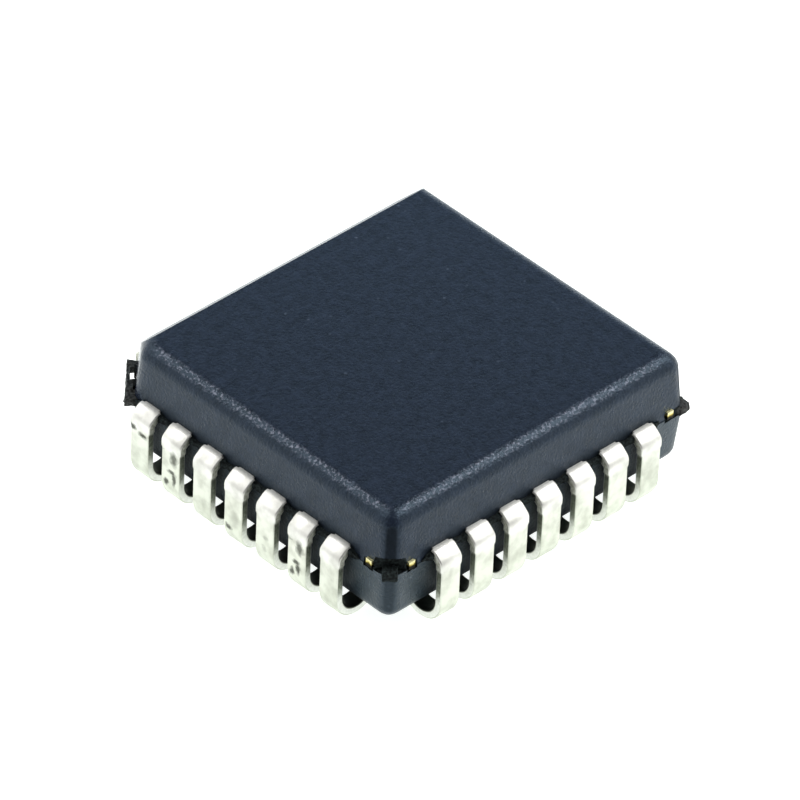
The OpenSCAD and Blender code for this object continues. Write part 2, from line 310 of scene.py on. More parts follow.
# Painted light from the floor below: pale at the foot, darkest up the middle, paler at the shoulder.
flank_painted_light = add_node(tree, "ShaderNodeValToRGB", {"Fac": flank_level}, stops=(
    (0, "#f6f8f1"), (0.36, "#eff2e9"), (0.5, "#8d9483"), (0.74, "#565d4d"), (0.79, "#cfd1c5"), (1, "#d9dace")))
tear = add_node(tree, "ShaderNodeTexNoise", {"Vector": place, "Scale": 1 / (TEAR * MM), "Detail": 4.0})
tear_tint = add_node(tree, "ShaderNodeValToRGB", {"Fac": tear}, stops=((0.36, "#b0b0aa"), (0.6, "#ffffff")))
# The torn mottling fades out towards the foot, where the painted light is brightest.
tear_shown = add_node(tree, "ShaderNodeMapRange", {"Value": flank_level, "From": TEAR_FADE_LEVEL, "To": TEAR_SHARE})
torn = add_node(tree, "ShaderNodeMixRGB", {"Fac": tear_shown, "Color1": flank_painted_light, "Color2": tear_tint},
                blend_type="MULTIPLY")
# Painted shade: next to the wall, in the upper part of the flank, the flank is painted near black.
lead_reach = add_node(tree, "ShaderNodeSeparateXYZ", {
    "Vector": add_node(tree, "ShaderNodeVectorMath", {0: place}, operation="ABSOLUTE")})
off_wall = add_node(tree, "ShaderNodeMath", {0: lead_reach.outputs["X"], 1: lead_reach.outputs["Y"]},
                    operation="MAXIMUM")
free = add_node(tree, "ShaderNodeMapRange", {"Value": off_wall, "From": mm(*WALL_SHADE_OUT)})
below = add_node(tree, "ShaderNodeMapRange", {"Value": flank_level, "From": WALL_SHADE_LEVEL, "To": (1, 0)})
wall_unshaded = add_node(tree, "ShaderNodeMath", {0: free, 1: below}, operation="MAXIMUM")
plug(tree, shader, {
    "Base Color": add_node(tree, "ShaderNodeMixRGB", {"Fac": wall_unshaded, "Color1": srgb("#11140f"), "Color2": torn}),
    "Metallic": add_node(tree, "ShaderNodeMapRange", {
        "Value": flank_level, "From": FLANK_LEVEL, "To": FLANK_METALLIC}),
    "Normal": add_node(tree, "ShaderNodeBump", {"Height": tear, "Strength": tear_shown, "Distance": TEAR_DEPTH * MM}),
})

for number in range(1, LEAD_COUNT + 1):
    seat = (number - 1 + LEADS_PER_SIDE // 2) % LEAD_COUNT
    off_middle = seat % LEADS_PER_SIDE - HALF_ROW
    stations = lead_stations(off_middle * (TIP_PITCH - PITCH))
    rings = [strip_ring(station) for station in stations]
    end_heading = stations[-1][2]
    onward = Vector((math.cos(end_heading), 0, math.sin(end_heading)))
    rings.append([p + onward * END_CHAMFER for p in strip_ring(stations[-1], END_CHAMFER)])
    bm = skin(rings)
    for i, face in enumerate(bm.faces[:-2]):
        face.material_index = int(i % len(rings[0]) in FLANKS)
    side_turn = Matrix.Rotation(math.pi / 2 * (seat // LEADS_PER_SIDE + 1), 4, "Z")
    bm.transform(side_turn @ Matrix.Translation((0, off_middle * PITCH * MM, 0)))
    lead = add_piece(f"j_lead_{number:02d}", bm, [tin, flank], LEAD_SHARP)
    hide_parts(f"lead_{number:02d}")

# Die pad: the square island of the same copper strip, held by a tie bar to each corner of the body.
# Each bar forks into two ends that are sheared off at the walls, so bare metal shows there.

# Sheared copper alloy: a bright yellow torn face, painted dark along its lower edge as painted shade. At the index
# corner flash is smeared over it.
SHEAR = 0.1
SHEAR_DEPTH = 0.02
SHEAR_RAGGED = 0.16
SHADED_LOW_Z = (2.5, 2.63)
FLASH_SMEAR = (9.6, 9.9)
copper, tree, shader, place = start_material("sheared_copper_alloy", {"Metallic": 1.0, "Roughness": 0.45})
shear = add_node(tree, "ShaderNodeTexNoise", {"Vector": place, "Scale": 1 / (SHEAR * MM), "Detail": 4.0})
pad_height = add_node(tree, "ShaderNodeSeparateXYZ", {"Vector": place}).outputs["Z"]
ragged_height = add_node(tree, "ShaderNodeMath", {0: shear, 1: SHEAR_RAGGED * MM, 2: pad_height},
                         operation="MULTIPLY_ADD")
# Painted shade: the lower edge of the torn face is painted dark.
above_painted_shade = add_node(tree, "ShaderNodeMapRange", {"Value": ragged_height, "From": mm(*SHADED_LOW_Z)})
copper_tint = add_node(tree, "ShaderNodeValToRGB", {"Fac": above_painted_shade}, stops=(
    (0, "#15130c"), (0.4, "#6b5e24"), (0.6, "#d6c676"), (1, "#efe7b4")))
pad_to_index = add_node(tree, "ShaderNodeVectorMath", {0: place, 1: (-1, 1, 0)}, operation="DOT_PRODUCT")
smear = add_node(tree, "ShaderNodeMapRange", {"Value": pad_to_index, "From": mm(*FLASH_SMEAR)})
plug(tree, shader, {
    "Base Color": add_node(tree, "ShaderNodeMixRGB", {
        "Fac": smear, "Color1": copper_tint, "Color2": srgb("#1b1a17")}),
    "Normal": add_node(tree, "ShaderNodeBump", {"Height": shear, "Strength": 0.5, "Distance": SHEAR_DEPTH * MM}),
})
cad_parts["die_pad"].material_slots[0].material = copper

# Die attach: a thin squeezed layer of epoxy filled with silver flakes that glues the die to its pad.
# The flakes give it a grey glitter.
SILVER_FLAKE = 0.02
paste, tree, shader, place = start_material("silver_filled_epoxy", {"Roughness": 0.5, "Metallic": 0.6})
flakes = add_node(tree, "ShaderNodeTexVoronoi", {"Vector": place, "Scale": 1 / (SILVER_FLAKE * MM)})
plug(tree, shader, {"Base Color": add_node(
    tree, "ShaderNodeValToRGB", {"Fac": flakes}, stops=((0, "#cfd1d2"), (1, "#8d9092")))})
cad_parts["die_attach"].material_slots[0].material = paste

# Die: a sawn square of polished silicon that carries the circuit, stuck to the pad.
# It is dark and mirror-like, with a faint play of colour from its thin films.
FILM_PATCH = 0.6
silicon, tree, shader, place = start_material("polished_silicon", {"Roughness": 0.12, "Metallic": 0.8})
films = add_node(tree, "ShaderNodeTexNoise", {"Vector": place, "Scale": 1 / (FILM_PATCH * MM), "Detail": 2.0})
plug(tree, shader, {"Base Color": add_node(
    tree, "ShaderNodeValToRGB", {"Fac": films}, stops=((0, "#4a5162"), (1, "#6d6a76")))})
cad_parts["die"].material_slots[0].material = silicon

# Bond wires: gold, 0.03 mm thick, welded from the die's edge to each finger.
# Drawn wire has fine lines in it and shines. The lines are drawn coarser than life.
DRAWN_LINE = 0.02
gold, tree, shader, place = start_material("drawn_gold", {"Roughness": 0.22, "Metallic": 1.0})
drawn_lines = add_node(tree, "ShaderNodeTexNoise", {"Vector": place, "Scale": 1 / (DRAWN_LINE * MM), "Detail": 2.0})
plug(tree, shader, {"Base Color": add_node(
    tree, "ShaderNodeValToRGB", {"Fac": drawn_lines}, stops=((0, "#d9a441"), (1, "#ffd777")))})
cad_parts["bond_wires"].material_slots[0].material = gold

# Body: epoxy moulding compound, pressed round the lead frame in a two-part mould that meets at the leads.
# The walls are drafted so that it leaves the mould, which was spark-eroded to a fine grain.
PARTING = LEAD_TOP - LEAD_T
DRAFT_TOP = math.radians(5.5)
DRAFT_BOTTOM = math.radians(6)
TOP_ROUND = 0.52
BOTTOM_ROUND = 0.46
ROUND_STEPS = 14
CORNER_CUT_TOP = 0.34
CORNER_CUT_BOTTOM = 0.32
INDEX_CUT = 1.15
CORNER_SOFT = 0.03
CORNER_STEPS = 32
PARTING_STEP = 0.02
BODY_SHARP = math.radians(30)
ROOT2 = math.sqrt(2)
body_low, body_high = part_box("body")
BODY_BOTTOM = body_low.z / MM
BODY_TOP = body_high.z / MM


def half_levels(rise, draft, round_r):
    """Height above the parting plane, and inset from the wall, of each level of a mould half."""
    crown = (rise - round_r) * math.tan(draft) + round_r / math.cos(draft)
    levels = [(0, 0)]
    for i in range(ROUND_STEPS + 1):
        a = draft + (math.pi / 2 - draft) * i / ROUND_STEPS
        levels.append((rise - round_r + round_r * math.sin(a), crown - round_r * math.cos(a)))
    return levels


def corner_plan(inset, cut):
    """Points round a chamfered corner with softened edges, from one wall to the next."""
    hub = 2 * cut
    to_cut = ROOT2 * hub - cut / ROOT2 + inset * (ROOT2 - 1)
    power = hub * math.log(2) / CORNER_SOFT
    points = []
    for i in range(CORNER_STEPS + 1):
        a = math.pi / 2 * i / CORNER_STEPS
        walls = (math.cos(a) / hub) ** power + (math.sin(a) / hub) ** power
        chamfer = (math.cos(a - math.pi / 4) / to_cut) ** power
        r = (walls + chamfer) ** (-1 / power)
        points.append((WALL - inset - hub + r * math.cos(a), WALL - inset - hub + r * math.sin(a)))
    return points


def plan_ring(inset, plain_cut, z):
    """The body's outline at one height: the far, index, near and right corners in turn."""
    ring = []
    for turn, cut in enumerate((plain_cut, INDEX_CUT, plain_cut, plain_cut)):
        for x, y in corner_plan(inset, cut):
            ring.append(Matrix.Rotation(turn * math.pi / 2, 3, "Z") @ Vector((x, y, z)))
    return ring


lower = [plan_ring(inset, CORNER_CUT_BOTTOM, PARTING - z)
         for z, inset in half_levels(PARTING - BODY_BOTTOM, DRAFT_BOTTOM, BOTTOM_ROUND)]
upper = [plan_ring(inset + PARTING_STEP, CORNER_CUT_TOP, PARTING + z)
         for z, inset in half_levels(BODY_TOP - PARTING, DRAFT_TOP, TOP_ROUND)]
compound = skin(list(reversed(lower)) + upper)

# The bevel along the top edge on the side of lead 1.
PIN1_BEVEL = 0.95
ON_PLANE = 1e-7
bevel_y = WALL - (BODY_TOP - PARTING) * math.tan(DRAFT_TOP) - PIN1_BEVEL
bevel = bmesh.ops.bisect_plane(
    compound, geom=compound.verts[:] + compound.edges[:] + compound.faces[:], dist=ON_PLANE,
    plane_co=(0, bevel_y * MM, BODY_TOP * MM), plane_no=(0, 1, 1), clear_outer=True)
rim = [e for e in bevel["geom_cut"] if isinstance(e, bmesh.types.BMEdge)]
bmesh.ops.contextual_create(compound, geom=rim)
bmesh.ops.recalc_face_normals(compound, faces=compound.faces)

# The round mark of the ejector pin, and the pockets that take the tips of the feet.
MARK_D = 2.6
MARK_DEPTH = 0.08
MARK_SEGMENTS = 64
POCKET_IN = 4.33
POCKET_OUT = 4.816
POCKET_W = 0.86
POCKET_TOP = 0.797


def cut_out(bm, cutter):
    """Take one closed bmesh out of another; both are used up and the result is returned."""
    pair = []
    for shape in (bm, cutter):
        mesh = bpy.data.meshes.new("shape")
        shape.to_mesh(mesh)
        shape.free()
        mesh.materials.append(None)
        mesh.materials.append(None)
        pair.append(bpy.data.objects.new("shape", mesh))
        bpy.context.scene.collection.objects.link(pair[-1])
    boolean = pair[0].modifiers.new("cut", "BOOLEAN")
    boolean.object = pair[1]
    boolean.solver = "EXACT"
    graph = bpy.context.evaluated_depsgraph_get()
    result = bmesh.new()
    result.from_mesh(pair[0].evaluated_get(graph).data)
    for used in pair:
        mesh = used.data
        bpy.data.objects.remove(used)
        bpy.data.meshes.remove(mesh)
    return result


def block(low, high, cuts=0):
    """A box between two corners in millimetres, divided so that it can be roughened."""
    bm = bmesh.new()
    bmesh.ops.create_cube(bm, size=1)
    if cuts:
        bmesh.ops.subdivide_edges(bm, edges=bm.edges[:], cuts=cuts, use_grid_fill=True)
    low, high = Vector(low), Vector(high)
    for v in bm.verts:
        v.co = Vector([a + (b - a) * (c + 0.5) for a, b, c in zip(low, high, v.co)]) * MM
    return bm


def turn_about(bm, angle):
    """Turn a bmesh about the chip's upright axis."""
    bm.transform(Matrix.Rotation(angle, 4, "Z"))


def join_in(whole, part):
    """Put one bmesh into another; the part is used up."""
    mesh = bpy.data.meshes.new("part")
    part.to_mesh(mesh)
    part.free()
    whole.from_mesh(mesh)
    bpy.data.meshes.remove(mesh)


ejector_mark = bmesh.new()
bmesh.ops.create_cone(ejector_mark, cap_ends=True, segments=MARK_SEGMENTS, radius1=MARK_D / 2 * MM,
                      radius2=MARK_D / 2 * MM, depth=2 * MARK_DEPTH * MM,
                      matrix=Matrix.Translation((0, 0, BODY_BOTTOM * MM)))
compound = cut_out(compound, ejector_mark)
pockets = bmesh.new()
for number in range(LEAD_COUNT):
    y = (number % LEADS_PER_SIDE - HALF_ROW) * PITCH
    pocket = block((POCKET_IN, y - POCKET_W / 2, 0), (POCKET_OUT, y + POCKET_W / 2, POCKET_TOP))
    turn_about(pocket, math.pi / 2 * (number // LEADS_PER_SIDE))
    join_in(pockets, pocket)
compound = cut_out(compound, pockets)

# The gate through which the compound came in was broken off at the near corner and took a chip with it.
# Broken faces are roughened by noise of a given grain and depth, with a seed for each.
NEAR_CORNER = math.radians(225)
SCAR_DEPTH = 0.26
SCAR_BELOW = 0.012
SCAR_H = 0.5
SCAR_HALF_W = 0.75
SCAR_ARCH = 0.55
SCAR_CUTS = 15
SCAR_BREAK = {"grain": 0.16, "depth": 0.022, "seed": 3}
CUTTER_CLEAR = 1
SEED_STEPS = (1, 1.7, 2.3)
FINE_GRAIN = 2.3
FINE_SHARE = 0.5
NOISE_SEED = 7
noise.seed_set(NOISE_SEED)


def roughen(bm, grain, depth, seed):
    """Shift every point by smooth noise, as broken moulding compound is uneven."""
    for v in bm.verts:
        at = v.co / (grain * MM) + Vector([seed * step for step in SEED_STEPS])
        v.co += (noise.noise_vector(at) + FINE_SHARE * noise.noise_vector(at * FINE_GRAIN)) * depth * MM


def mark_broken(bm):
    """Give every face the second material of the body, broken epoxy."""
    for face in bm.faces:
        face.material_index = 1


chamfer_face = WALL * ROOT2 - CORNER_CUT_TOP / ROOT2
scar = block((chamfer_face - SCAR_DEPTH, -SCAR_HALF_W, -SCAR_BELOW),
             (chamfer_face + CUTTER_CLEAR, SCAR_HALF_W, SCAR_H), SCAR_CUTS)
for v in scar.verts:
    v.co.z *= 1 - SCAR_ARCH * (v.co.y / (SCAR_HALF_W * MM)) ** 2
    v.co.z += PARTING * MM
roughen(scar, **SCAR_BREAK)
mark_broken(scar)
turn_about(scar, NEAR_CORNER)
compound = cut_out(compound, scar)

# Round the sheared ends of the tie bars the compound chipped, most of all towards the vent at the right corner.
# Each chip has its wall's turn, the end of that wall, and its near and far distance from there.
CHIP_DEPTH = 0.08
CHIP_BELOW = 0.1
CHIP_ABOVE = 0.2
CHIP_CLEAR = 0.2
CHIP_CUTS = 7
CHIP_BREAK = {"grain": 0.1, "depth": 0.025}
CHIP_SEED = 60
TIE_END = (0.66, 1.04)
VENT_TIE_END = (0.36, 0.98)
CHIPS = (
    (180, 1, TIE_END), (270, -1, TIE_END), (270, 1, VENT_TIE_END),
    (0, -1, TIE_END), (0, 1, TIE_END), (90, -1, TIE_END),
)
chips = bmesh.new()
for i, (wall_turn, wall_end, span) in enumerate(CHIPS):
    chip_from, chip_to = sorted(wall_end * (WALL - distance) for distance in span)
    chip = block((WALL - CHIP_DEPTH, chip_from, PARTING - CHIP_BELOW),
                 (WALL + CHIP_CLEAR, chip_to, PARTING + CHIP_ABOVE), CHIP_CUTS)
    roughen(chip, **CHIP_BREAK, seed=CHIP_SEED + i)
    mark_broken(chip)
    turn_about(chip, math.radians(wall_turn))
    join_in(chips, chip)
compound = cut_out(compound, chips)

# Moulded epoxy: carbon-black resin full of quartz grains, with the fine pitting of a spark-eroded mould, so it is a
# blue-black satin with a few pale grains. The pits are drawn coarser than life, so that they show.
PIT = 0.085
PIT_DEPTH = 0.022
BLOTCH = 0.3
MOTTLE_RANGE = (0.75, 1.25)
QUARTZ_GAP = 0.3
QUARTZ_SIZE = (0.06, 0.2)
QUARTZ_PALE = 0.45
QUARTZ_RARE = (0.78, 0.88)
epoxy, tree, shader, place = start_material("moulded_epoxy", {
    "IOR": 1.5, "Specular IOR Level": 0.37, "Specular Tint": srgb("#c7e6ff")})
pits = add_node(tree, "ShaderNodeTexNoise", {
    "Vector": place, "Scale": 1 / (PIT * MM), "Detail": 3.0, "Roughness": 0.6})
blotch = add_node(tree, "ShaderNodeTexNoise", {"Vector": place, "Scale": 1 / (BLOTCH * MM), "Detail": 4.0})
both = add_node(tree, "ShaderNodeMath", {0: pits, 1: blotch}, operation="ADD")
mottle = add_node(tree, "ShaderNodeMapRange", {"Value": both, "From": MOTTLE_RANGE})
resin_tint = add_node(tree, "ShaderNodeValToRGB", {"Fac": mottle}, stops=((0, "#141a26"), (1, "#222a3a")))
quartz = add_node(tree, "ShaderNodeTexVoronoi", {"Vector": place, "Scale": 1 / (QUARTZ_GAP * MM)})
quartz_dot = add_node(tree, "ShaderNodeMapRange", {"Value": quartz, "From": QUARTZ_SIZE, "To": (QUARTZ_PALE, 0)})
rare = add_node(tree, "ShaderNodeMapRange", {"Value": quartz.outputs["Color"], "From": QUARTZ_RARE})
pale = add_node(tree, "ShaderNodeMath", {0: quartz_dot, 1: rare}, operation="MULTIPLY")
grained = add_node(tree, "ShaderNodeMixRGB", {"Fac": pale, "Color1": resin_tint, "Color2": srgb("#5f6a7c")})

# The rounded top edges carry a pale speckle as a painted highlight, the glint of the grain in the light overhead, but
# not on the corners, the index chamfer or the far right edge. The lower half is painted a little paler and greener,
# as a painted reflection of the floor.
HIGHLIGHT_BAND = 0.28
GLINT_PITS = (0.51, 0.65)
GLINT_SHARE = 0.55
CORNERS_SPARED = (10.0, 10.35)
INDEX_SPARED = (9.3, 9.58)
FAR_RIGHT_SPARED = (4.7, 4.95)
PARTING_SOFT = 0.02
height = add_node(tree, "ShaderNodeSeparateXYZ", {"Vector": place}).outputs["Z"]
rise = add_node(tree, "ShaderNodeMapRange", {"Value": height, "From": mm(BODY_TOP - HIGHLIGHT_BAND, BODY_TOP)})
edge = add_node(tree, "ShaderNodeValToRGB", {"Fac": rise}, stops=(
    (0.38, "#000000"), (0.68, "#ffffff"), (0.88, "#ffffff"), (0.975, "#000000")))
out_from_axis = add_node(tree, "ShaderNodeVectorMath", {0: place}, operation="ABSOLUTE")
to_corner = add_node(tree, "ShaderNodeVectorMath", {0: out_from_axis, 1: (1, 1, 0)}, operation="DOT_PRODUCT")
to_index = add_node(tree, "ShaderNodeVectorMath", {0: place, 1: (-1, 1, 0)}, operation="DOT_PRODUCT")
to_far_right = add_node(tree, "ShaderNodeVectorMath", {0: place, 1: (1, 0, 0)}, operation="DOT_PRODUCT")
off_corners = add_node(tree, "ShaderNodeMapRange", {
    "Value": to_corner, "From": mm(*CORNERS_SPARED), "To": (1, 0)})
off_index = add_node(tree, "ShaderNodeMapRange", {"Value": to_index, "From": mm(*INDEX_SPARED), "To": (1, 0)})
off_far_right = add_node(tree, "ShaderNodeMapRange", {
    "Value": to_far_right, "From": mm(*FAR_RIGHT_SPARED), "To": (1, 0)})
off_ends = add_node(tree, "ShaderNodeMath", {0: off_corners, 1: off_index}, operation="MULTIPLY")
lit_edges = add_node(tree, "ShaderNodeMath", {0: off_ends, 1: off_far_right}, operation="MULTIPLY")
highlight_edge = add_node(tree, "ShaderNodeMath", {0: edge, 1: lit_edges}, operation="MULTIPLY")
glint = add_node(tree, "ShaderNodeMapRange", {"Value": pits, "From": GLINT_PITS, "To": (0, GLINT_SHARE)})
# The painted highlight: pale speckle on the rounded top edges.
painted_glint = add_node(tree, "ShaderNodeMath", {0: highlight_edge, 1: glint}, operation="MULTIPLY")
with_painted_glint = add_node(tree, "ShaderNodeMixRGB", {"Fac": painted_glint, "Color1": grained, "Color2": srgb("#a4a5b6")})
# Painted reflection: the lower half is lifted paler and greener, as if it showed more of the lit floor.
lower_half = add_node(tree, "ShaderNodeMapRange", {
    "Value": height, "From": mm(PARTING - PARTING_SOFT, PARTING + PARTING_SOFT), "To": (1, 0)})
with_floor_reflection = add_node(tree, "ShaderNodeMixRGB", {"Fac": lower_half, "Color1": with_painted_glint, "Color2": srgb("#1a2422")},
                  blend_type="ADD")

# The corner chamfers are dull, as the mould was left unpolished there, and painted dark as painted shade, both less
# so in the lower half.
FACET_SQUARENESS = (0.9, 0.975)
FACET_FROM = (10.4, 10.6)
FACET_LOWER_HALF = 0.5
FACET_SHADE = 0.7
FACET_ROUGHNESS = 0.85
wall_normal = add_node(tree, "ShaderNodeNewGeometry").outputs["Normal"]
facing = add_node(tree, "ShaderNodeVectorMath", {0: wall_normal}, operation="ABSOLUTE")
diagonal = add_node(tree, "ShaderNodeVectorMath", {0: facing, 1: (1 / ROOT2, 1 / ROOT2, 0)}, operation="DOT_PRODUCT")
squarely = add_node(tree, "ShaderNodeMapRange", {"Value": diagonal, "From": FACET_SQUARENESS})
at_corner = add_node(tree, "ShaderNodeMapRange", {"Value": to_corner, "From": mm(*FACET_FROM)})
less_below = add_node(tree, "ShaderNodeMapRange", {"Value": lower_half, "To": (1, FACET_LOWER_HALF)})
on_chamfer = add_node(tree, "ShaderNodeMath", {0: squarely, 1: at_corner}, operation="MULTIPLY")
facet = add_node(tree, "ShaderNodeMath", {0: on_chamfer, 1: less_below}, operation="MULTIPLY")
shaded = add_node(tree, "ShaderNodeMath", {0: facet, 1: FACET_SHADE}, operation="MULTIPLY")
# Painted shade: the corner chamfers are mixed towards near black.
facet_painted_shade = add_node(tree, "ShaderNodeMixRGB", {"Fac": shaded, "Color1": with_floor_reflection, "Color2": srgb("#050608")})

# Painted shade darkens the hollows, found by ambient occlusion, and uneven rows above and below the leads, where the
# leads shade the walls. The index chamfer was ground glossy and gets no painted shade.
HOLLOW = 0.6
HOLLOW_OPEN = (0.3, 0.8)
GROUND_FROM = (9.7, 10.0)
ROW_END = (4.25, 4.65)
ROW_TOP = 0.6
ROW_PATCHES = (0.35, 0.6)
ROW_SHARE = (0.45, 1.0)
ROW_LEFT_BRIGHT = 0.15
open_air = add_node(tree, "ShaderNodeAmbientOcclusion", {"Distance": HOLLOW * MM}, samples=8).outputs["AO"]
unoccluded = add_node(tree, "ShaderNodeMapRange", {"Value": open_air, "From": HOLLOW_OPEN})
ground = add_node(tree, "ShaderNodeMapRange", {"Value": to_index, "From": mm(*GROUND_FROM)})
out_each_way = add_node(tree, "ShaderNodeSeparateXYZ", {"Vector": out_from_axis})
along_wall = add_node(tree, "ShaderNodeMath", {0: out_each_way.outputs["X"], 1: out_each_way.outputs["Y"]},
                      operation="MINIMUM")
row = add_node(tree, "ShaderNodeMapRange", {"Value": along_wall, "From": mm(*ROW_END), "To": (1, 0)})
up_wall = add_node(tree, "ShaderNodeMapRange", {"Value": height, "From": mm(BODY_BOTTOM, PARTING + ROW_TOP)})
bands = add_node(tree, "ShaderNodeValToRGB", {"Fac": up_wall}, stops=(
    (0, "#ffffff"), (0.1, "#ffffff"), (0.24, "#000000"), (0.78, "#000000"), (0.84, "#ffffff"), (1, "#000000")))
patchy = add_node(tree, "ShaderNodeMapRange", {"Value": blotch, "From": ROW_PATCHES, "To": ROW_SHARE})
in_row = add_node(tree, "ShaderNodeMath", {0: bands, 1: row}, operation="MULTIPLY")
row_shade = add_node(tree, "ShaderNodeMath", {0: in_row, 1: patchy}, operation="MULTIPLY")
row_unshaded = add_node(tree, "ShaderNodeMapRange", {"Value": row_shade, "To": (1, ROW_LEFT_BRIGHT)})
bright = add_node(tree, "ShaderNodeMath", {0: unoccluded, 1: row_unshaded}, operation="MULTIPLY")
unshaded = add_node(tree, "ShaderNodeMath", {0: bright, 1: ground}, operation="MAXIMUM")
# Painted shade: the hollows and the rows by the leads are mixed towards near black.
with_painted_shade = add_node(tree, "ShaderNodeMixRGB", {"Fac": unshaded, "Color1": srgb("#030405"), "Color2": facet_painted_shade})

# Leaving the mould drew faint upright streaks of gloss down the walls.
STREAK = 0.12
STREAK_SQUEEZE = 0.12
STREAK_RANGE = (0.3, 0.7)
STREAK_ROUGHNESS = (0.24, 0.34)
HOLLOW_ROUGHNESS = 0.7
GROUND_ROUGHNESS = 0.12
drawn_place = add_node(tree, "ShaderNodeMapping", {"Vector": place, "Scale": (1, 1, STREAK_SQUEEZE)})
streaks = add_node(tree, "ShaderNodeTexNoise", {"Vector": drawn_place, "Scale": 1 / (STREAK * MM), "Detail": 2.0})
gloss = add_node(tree, "ShaderNodeMapRange", {"Value": streaks, "From": STREAK_RANGE, "To": STREAK_ROUGHNESS})
dull = add_node(tree, "ShaderNodeMapRange", {"Value": unshaded, "To": (HOLLOW_ROUGHNESS, gloss)})
sleek = add_node(tree, "ShaderNodeMapRange", {"Value": ground, "To": (dull, GROUND_ROUGHNESS)})
plug(tree, shader, {
    "Base Color": with_painted_shade,
    "Roughness": add_node(tree, "ShaderNodeMapRange", {"Value": facet, "To": (sleek, FACET_ROUGHNESS)}),
    "Normal": add_node(tree, "ShaderNodeBump", {"Height": pits, "Strength": 1.0, "Distance": PIT_DEPTH * MM}),
})

# Broken epoxy: a torn, matte face full of quartz filler, coloured darker than the skin as painted shade.
BROKEN_FILLER = 0.07
FILLER_DEPTH = 0.03


def torn_epoxy(name, filler_size, stops, sockets):
    """Torn moulding compound, tinted and made uneven by its filler."""
    material, tree, shader, place = start_material(name, sockets)
    filler = add_node(tree, "ShaderNodeTexNoise", {"Vector": place, "Scale": 1 / (filler_size * MM), "Detail": 4.0})
    plug(tree, shader, {
        "Base Color": add_node(tree, "ShaderNodeValToRGB", {"Fac": filler}, stops),
        "Normal": add_node(tree, "ShaderNodeBump", {
            "Height": filler, "Strength": 0.8, "Distance": FILLER_DEPTH * MM}),
    })
    return material


# Its dark colour is painted shade for the scar, the chips, the gate stubs and the flash between the necks.
broken = torn_epoxy("broken_epoxy", BROKEN_FILLER, ((0.4, "#0e1213"), (0.72, "#313a3b")),
                    {"Roughness": 0.8, "IOR": 1.5, "Specular IOR Level": 0.12})
body = add_piece("moulded_body", compound, [epoxy, broken], BODY_SHARP)
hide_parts("body")

# Flash: compound that was squeezed out at the parting plane or left where the gates and vents were snapped off.
# It is the same epoxy, thin and brittle, with torn edges.
REMNANT_H = 0.26
REMNANT_ROOT = 0.3
TORN_SHARP = math.radians(50)
FAR_CORNER = math.radians(45)
GATE_W = 0.42
GATE_PROUD = 0.14
GATE_CUTS = 9
GATE_BREAK = {"grain": 0.14, "depth": 0.018}
remnant_low, remnant_high = PARTING - REMNANT_H / 2, PARTING + REMNANT_H / 2

for name, corner, seed in (("gate_stub_near", NEAR_CORNER, 11), ("gate_stub_far", FAR_CORNER, 12)):
    stub = block((chamfer_face - REMNANT_ROOT, -GATE_W / 2, remnant_low),
                 (chamfer_face + GATE_PROUD, GATE_W / 2, remnant_high), GATE_CUTS)
    roughen(stub, **GATE_BREAK, seed=seed)
    turn_about(stub, corner)
    add_piece(name, stub, [broken], TORN_SHARP)

# Torn epoxy flash: thin and rubbed, so it shows more pale filler than the broken faces do.
FLASH_FILLER = 0.08
flash = torn_epoxy("torn_epoxy_flash", FLASH_FILLER, ((0.38, "#0d0c0a"), (0.66, "#4a4d4c")),
                   {"Roughness": 0.65, "IOR": 1.5, "Specular IOR Level": 0.35})

# The nub that the air vent left at the right corner narrows outwards.
RIGHT_CORNER = math.radians(-45)
NUB_W = 0.5
NUB_PROUD = 0.22
NUB_CUTS = 11
NUB_NARROWS = 0.7
NUB_THINS = 0.45
NUB_BREAK = {"grain": 0.12, "depth": 0.03, "seed": 21}
nub = block((chamfer_face - REMNANT_ROOT, -NUB_W / 2, remnant_low),
            (chamfer_face + NUB_PROUD, NUB_W / 2, remnant_high), NUB_CUTS)
for v in nub.verts:
    outwards = max(0, (v.co.x / MM - chamfer_face) / NUB_PROUD)
    v.co.y *= 1 - NUB_NARROWS * outwards
    v.co.z = PARTING * MM + (v.co.z - PARTING * MM) * (1 - NUB_THINS * outwards)
roughen(nub, **NUB_BREAK)
turn_about(nub, RIGHT_CORNER)
add_piece("vent_nub", nub, [flash], TORN_SHARP)

# The bar along the index chamfer has a slit behind it and runs on a little past the near end.
INDEX_CORNER = math.radians(135)
BAR_ROOT = 0.12
BAR_PROUD = 0.24
BAR_RUNS_ON = 0.11
BAR_CUTS = 19
BAR_BREAK = {"grain": 0.22, "depth": 0.045, "seed": 31}
SLIT_ROOT = 0.2
SLIT_OUT = 0.14
SLIT_LEN = 0.5
SLIT_FROM = 0.3
index_face = WALL * ROOT2 - INDEX_CUT / ROOT2
bar_end = INDEX_CUT * ROOT2 / 2
bar = block((index_face - BAR_ROOT, -bar_end, remnant_low),
            (index_face + BAR_PROUD, bar_end + BAR_RUNS_ON, remnant_high), BAR_CUTS)
slit = block((index_face - SLIT_ROOT, SLIT_FROM - bar_end, 0),
             (index_face + SLIT_OUT, SLIT_FROM + SLIT_LEN - bar_end, BODY_TOP))
bar = cut_out(bar, slit)
roughen(bar, **BAR_BREAK)
turn_about(bar, INDEX_CORNER)
add_piece("flash_bar", bar, [flash], TORN_SHARP)

